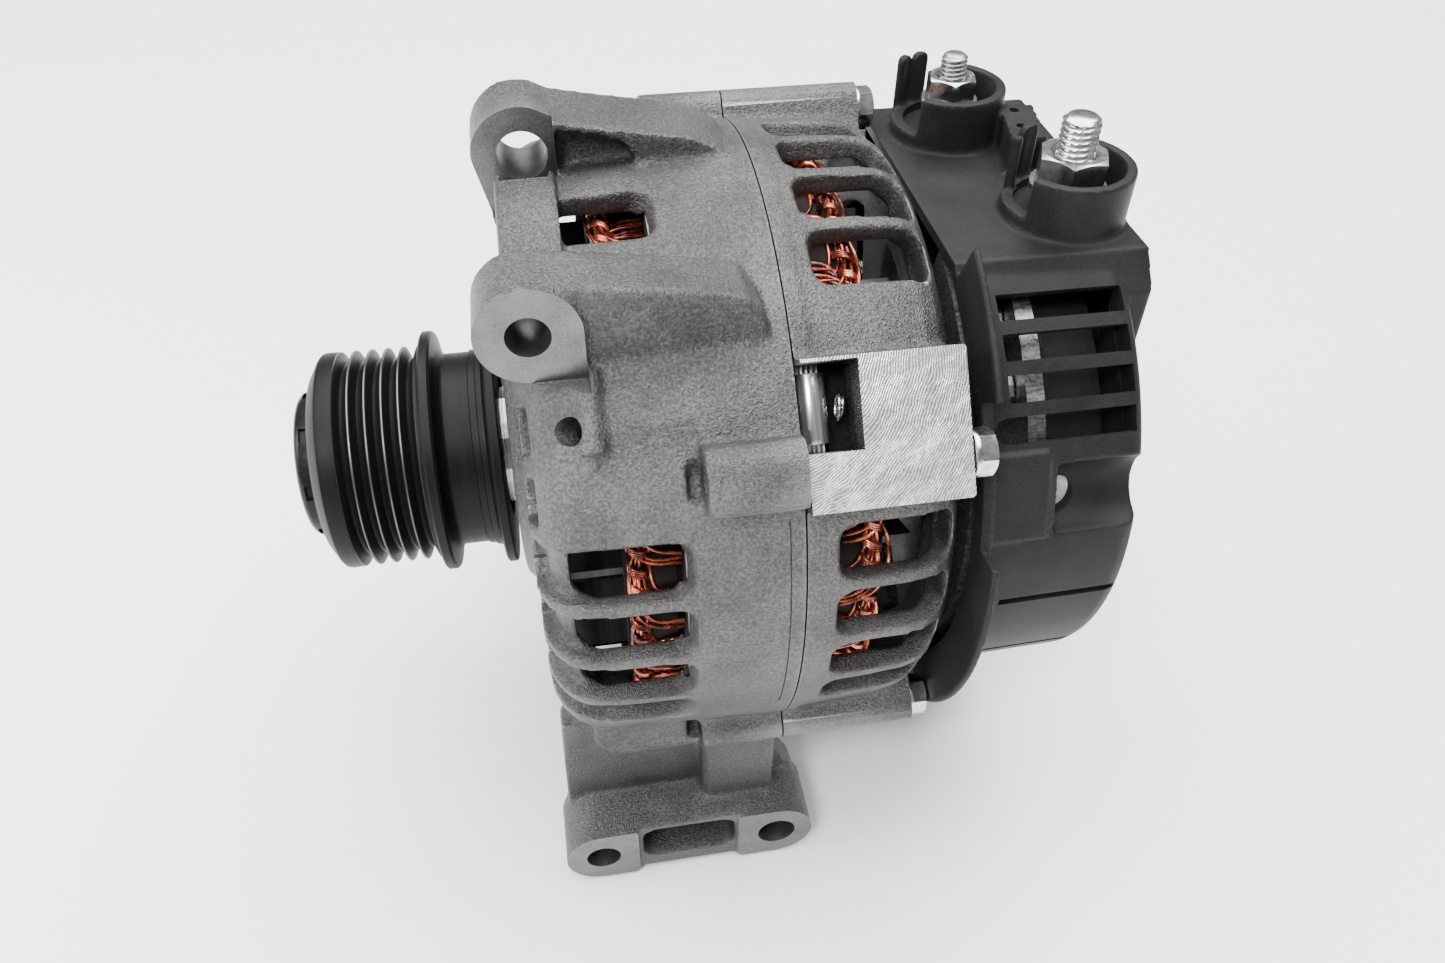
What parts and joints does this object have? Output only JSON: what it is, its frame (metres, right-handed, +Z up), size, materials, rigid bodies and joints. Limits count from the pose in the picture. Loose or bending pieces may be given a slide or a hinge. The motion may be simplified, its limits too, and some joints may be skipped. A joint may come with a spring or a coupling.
{
  "type": "car alternator",
  "caption": "Car alternator with a ribbed overrunning belt pulley, vented two-piece housing with mounting ears and foot, and a rear cover with stud terminals.",
  "frame": {"origin": "on the rotor shaft's axis, in the plane where the two housing brackets meet; the engine's bracket holds the part by its ears and foot", "axes": "+X along the shaft from the pulley to the rear cover, +Z up along the terminal studs, -Y towards the engine, out of the machined faces of the ears and foot"},
  "size_m": [0.1787, 0.1439, 0.1732],
  "materials": {
    "cast_aluminium": "sand-cast, bead-blasted, with milled faces",
    "bearing_steel": "ground and polished",
    "laminations": "stacked sheet edges",
    "forged_steel": "forged, dark",
    "zinc_plate": "bright zinc plating",
    "copper_wire": "enamelled copper",
    "copper_ring": "turned copper",
    "black_steel": "satin black coating",
    "black_plastic": "glass-filled moulding, matt",
    "carbon": "pressed carbon",
    "bright_aluminium": "stamped sheet"
  },
  "bodies": {
    "housing": {"drive_end_bracket": "cast_aluminium", "slip_ring_end_bracket": "cast_aluminium", "front_bearing_outer_race": "bearing_steel", "rear_bearing_outer_race": "bearing_steel", "brush_spring_1": "bearing_steel", "brush_spring_2": "bearing_steel", "stator_core": "laminations", "bearing_retainer_plate": "zinc_plate", "retainer_screw_1": "zinc_plate", "retainer_screw_2": "zinc_plate", "retainer_screw_3": "zinc_plate", "through_bolt_1": "zinc_plate", "through_bolt_2": "zinc_plate", "through_bolt_3": "zinc_plate", "through_bolt_4": "zinc_plate", "battery_stud": "zinc_plate", "battery_nut": "zinc_plate", "signal_stud": "zinc_plate", "signal_nut": "zinc_plate", "cover_screw_1": "zinc_plate", "cover_screw_2": "zinc_plate", "cover_screw_3": "zinc_plate", "diode_1": "zinc_plate", "diode_2": "zinc_plate", "diode_3": "zinc_plate", "diode_4": "zinc_plate", "diode_5": "zinc_plate", "stator_winding": "copper_wire", "brush_holder": "black_plastic", "voltage_regulator": "black_plastic", "diode_terminal_plate": "black_plastic", "rear_cover": "black_plastic", "positive_heat_sink": "bright_aluminium", "negative_heat_sink": "bright_aluminium"},
    "rotor": {"rotor_shaft": "bearing_steel", "front_claw_pole": "forged_steel", "rear_claw_pole": "forged_steel", "field_coil": "copper_wire", "coil_spool": "black_plastic", "front_fan": "bearing_steel", "rear_fan": "bearing_steel", "slip_ring_front": "copper_ring", "slip_ring_rear": "copper_ring", "slip_ring_sleeve": "black_plastic", "front_bearing_inner_race": "bearing_steel", "rear_bearing_inner_race": "bearing_steel", "spacer_collar": "bearing_steel", "pulley_hub": "bearing_steel", "one_way_clutch": "bearing_steel"},
    "pulley": {"pulley_rim": "black_steel", "pulley_cap": "black_plastic"},
    "front_cage": {"front_bearing_balls": "bearing_steel"},
    "rear_cage": {"rear_bearing_balls": "bearing_steel"},
    "brush_front": {"brush_1": "carbon"},
    "brush_rear": {"brush_2": "carbon"}
  },
  "joints": [
    {"name": "rotor_spin", "type": "hinge", "parent": "housing", "child": "rotor", "pos_m": [0, 0, 0], "axis": [1, 0, 0], "continuous": true},
    {"name": "pulley_overrun", "type": "hinge", "parent": "rotor", "child": "pulley", "pos_m": [-0.08, 0, 0], "axis": [1, 0, 0], "continuous": true},
    {"name": "front_cage_spin", "type": "hinge", "parent": "housing", "child": "front_cage", "pos_m": [-0.0447, 0, 0], "axis": [1, 0, 0], "continuous": true},
    {"name": "rear_cage_spin", "type": "hinge", "parent": "housing", "child": "rear_cage", "pos_m": [0.02675, 0, 0], "axis": [1, 0, 0], "continuous": true},
    {"name": "brush_front_slide", "type": "slide", "parent": "housing", "child": "brush_front", "axis": [0, 0, 1], "range_m": [0, 0.005], "stiffness_N_per_m": 120, "springref_m": -0.02, "deforming": ["brush_spring_1"]},
    {"name": "brush_rear_slide", "type": "slide", "parent": "housing", "child": "brush_rear", "axis": [0, 0, 1], "range_m": [0, 0.005], "stiffness_N_per_m": 120, "springref_m": -0.02, "deforming": ["brush_spring_2"]}
  ],
  "couplings": [
    {"joint": "front_cage_spin", "follows": "rotor_spin", "ratio": 0.378},
    {"joint": "rear_cage_spin", "follows": "rotor_spin", "ratio": 0.401}
  ]
}
